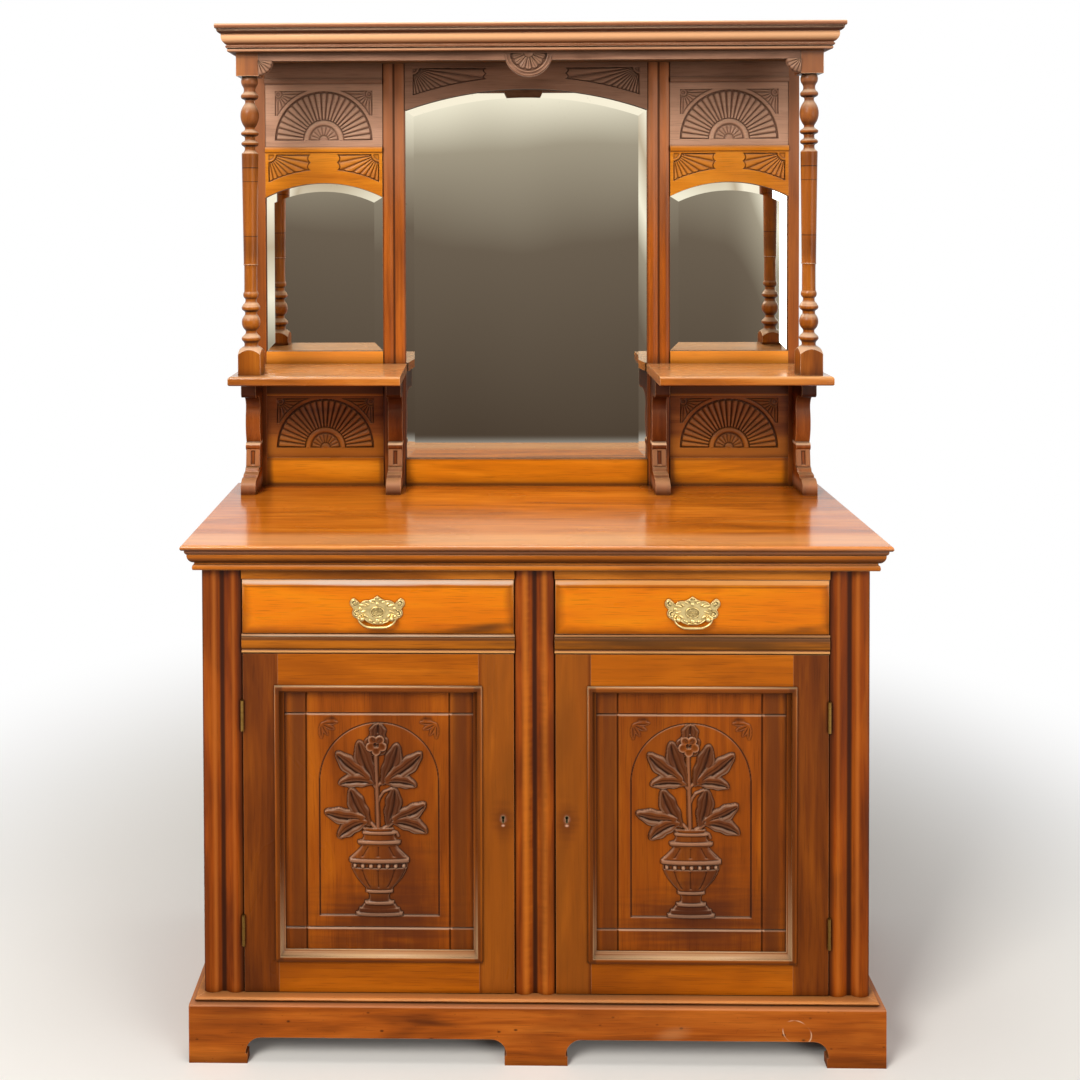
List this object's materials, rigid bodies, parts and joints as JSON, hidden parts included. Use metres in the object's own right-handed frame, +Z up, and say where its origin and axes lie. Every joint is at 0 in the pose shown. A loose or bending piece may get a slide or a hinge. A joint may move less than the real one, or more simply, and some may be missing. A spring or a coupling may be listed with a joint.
{
  "type": "chiffonier",
  "caption": "Mirror-backed chiffonier: bracket-foot plinth, carved panel doors, drawers with bail pulls, shelved gallery with bevelled mirrors, turned columns and a cornice.",
  "frame": {"origin": "on the floor under the middle of the slab, which is the middle of the bounding box's base", "axes": "+X to the viewer's right along the front, +Y from the front to the wall, +Z up"},
  "size_m": [1.236, 0.45, 1.858],
  "materials": {
    "plinth_wood": "red-brown stain, wax polish",
    "carcass_wood": "brown stain, wax polish",
    "upright_wood": "brown stain, wax polish",
    "rail_wood": "orange-brown stain, wax polish",
    "panel_wood": "brown stain, carved, wax polish",
    "drawer_wood": "orange-brown stain, satin polish",
    "slab_wood": "orange-brown stain, gloss polish",
    "moulding_wood": "dark brown stain, wax polish",
    "carved_wood": "grey-brown patina, carved",
    "inner_pine": "bare softwood",
    "back_pine": "bare softwood, darkened",
    "hinge_brass": "worn brass",
    "lock_brass": "worn brass",
    "pull_brass": "polished pale brass",
    "bolt_steel": "dull steel",
    "mirror_plate": "silvered plate glass, bevelled"
  },
  "bodies": {
    "carcass": {"plinth_front": "plinth_wood", "plinth_ends": "plinth_wood", "plinth_back_rail": "inner_pine", "plinth_blocks": "inner_pine", "base_moulding": "moulding_wood", "carcass_ends": "carcass_wood", "carcass_bottom": "inner_pine", "centre_partition": "inner_pine", "pilasters": "upright_wood", "frieze_rails": "rail_wood", "drawer_rails": "rail_wood", "drawer_runners": "inner_pine", "cupboard_shelves": "inner_pine", "shelf_bearers": "inner_pine", "carcass_back": "back_pine", "slab": "slab_wood", "slab_moulding": "moulding_wood", "hinge_fixed_leaves": "hinge_brass", "lock_keeps": "hinge_brass", "back_outer_stiles": "upright_wood", "back_inner_stiles": "upright_wood", "back_bottom_rails": "rail_wood", "back_shelf_rails": "rail_wood", "side_arch_rails": "rail_wood", "back_top_rails": "rail_wood", "centre_arch_rail": "rail_wood", "fan_panels": "carved_wood", "centre_mirror": "mirror_plate", "side_mirrors": "mirror_plate", "mirror_backings": "back_pine", "display_shelves": "slab_wood", "shelf_brackets": "upright_wood", "columns": "upright_wood", "cornice_moulding": "moulding_wood", "cornice_board": "carcass_wood", "cornice_apron": "carved_wood"},
    "door_left": {"door_stiles_left": "upright_wood", "door_rails_left": "rail_wood", "door_panel_left": "panel_wood", "door_moulding_left": "moulding_wood", "door_hinge_leaves_left": "hinge_brass", "door_lock_left": "lock_brass"},
    "bolt_left": {"door_bolt_left": "bolt_steel"},
    "drawer_left": {"drawer_front_left": "drawer_wood", "drawer_box_left": "inner_pine", "drawer_bottom_left": "inner_pine", "pull_plate_left": "pull_brass"},
    "bail_left": {"pull_bail_left": "pull_brass"},
    "door_right": {"door_stiles_right": "upright_wood", "door_rails_right": "rail_wood", "door_panel_right": "panel_wood", "door_moulding_right": "moulding_wood", "door_hinge_leaves_right": "hinge_brass", "door_lock_right": "lock_brass"},
    "bolt_right": {"door_bolt_right": "bolt_steel"},
    "drawer_right": {"drawer_front_right": "drawer_wood", "drawer_box_right": "inner_pine", "drawer_bottom_right": "inner_pine", "pull_plate_right": "pull_brass"},
    "bail_right": {"pull_bail_right": "pull_brass"}
  },
  "joints": [
    {"name": "door_left_hinge", "type": "hinge", "parent": "carcass", "child": "door_left", "pos_m": [-0.51675, -0.1955, 0.414], "axis": [0, 0, -1], "range_deg": [0, 110]},
    {"name": "bolt_left_slide", "type": "slide", "parent": "door_left", "child": "bolt_left", "axis": [1, 0, 0], "range_m": [0, 0.008]},
    {"name": "drawer_left_slide", "type": "slide", "parent": "carcass", "child": "drawer_left", "axis": [0, -1, 0], "range_m": [0, 0.28]},
    {"name": "bail_left_hinge", "type": "hinge", "parent": "drawer_left", "child": "bail_left", "pos_m": [-0.27637, -0.2051, 0.782], "axis": [-1, 0, 0], "range_deg": [0, 85]},
    {"name": "door_right_hinge", "type": "hinge", "parent": "carcass", "child": "door_right", "pos_m": [0.51675, -0.1955, 0.414], "axis": [0, 0, 1], "range_deg": [0, 110]},
    {"name": "bolt_right_slide", "type": "slide", "parent": "door_right", "child": "bolt_right", "axis": [-1, 0, 0], "range_m": [0, 0.008]},
    {"name": "drawer_right_slide", "type": "slide", "parent": "carcass", "child": "drawer_right", "axis": [0, -1, 0], "range_m": [0, 0.28]},
    {"name": "bail_right_hinge", "type": "hinge", "parent": "drawer_right", "child": "bail_right", "pos_m": [0.27637, -0.2051, 0.782], "axis": [-1, 0, 0], "range_deg": [0, 85]}
  ]
}
